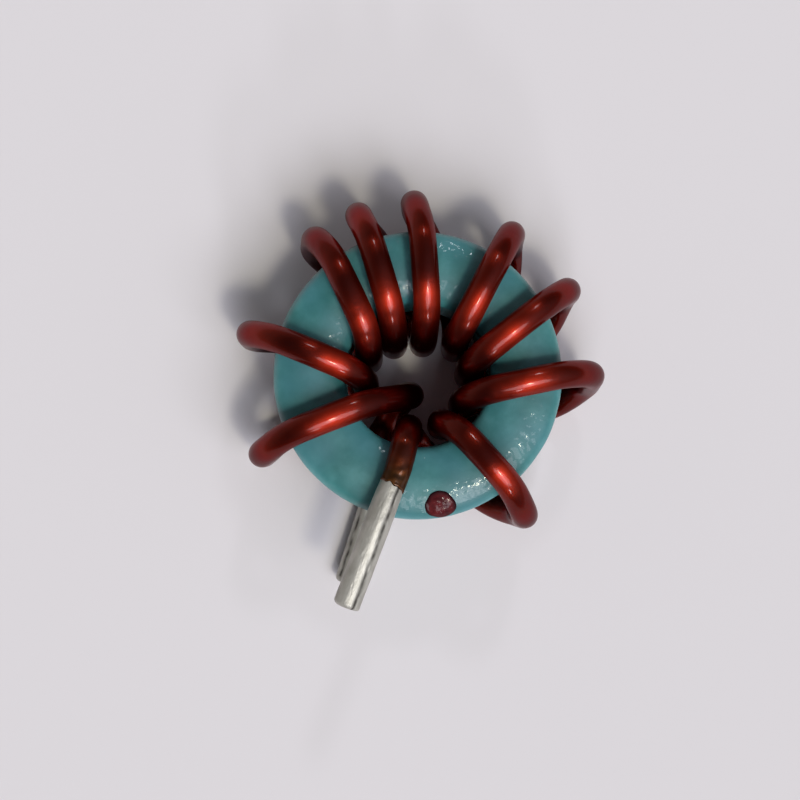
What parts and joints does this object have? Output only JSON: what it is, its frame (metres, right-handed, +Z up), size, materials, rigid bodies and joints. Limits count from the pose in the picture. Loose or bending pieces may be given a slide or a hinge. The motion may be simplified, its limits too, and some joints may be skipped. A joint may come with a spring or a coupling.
{
  "type": "inductor",
  "caption": "Toroidal inductor: thick red enamelled wire wound through a coated ring core, with two parallel tinned leads for soldering.",
  "frame": {"origin": "on the axis of the core, in the plane that the lying winding rests on", "axes": "+Z up along the axis of the core; the leads point along -Y, one above the other"},
  "size_m": [0.0143, 0.0163, 0.0066],
  "materials": {
    "core_coat": "smooth glossy blue-green coat, slightly mottled",
    "enamelled_wire": "clear deep red enamel over copper, glossy",
    "tinned_wire": "bright solder-dipped, drawn marks along the wire",
    "marking_paint": "lumpy dark red dab of paint"
  },
  "bodies": {
    "root": {"core": "core_coat", "winding": "enamelled_wire", "tinned_lead_upper": "tinned_wire", "tinned_lead_lower": "tinned_wire", "paint_dot": "marking_paint"}
  },
  "joints": []
}
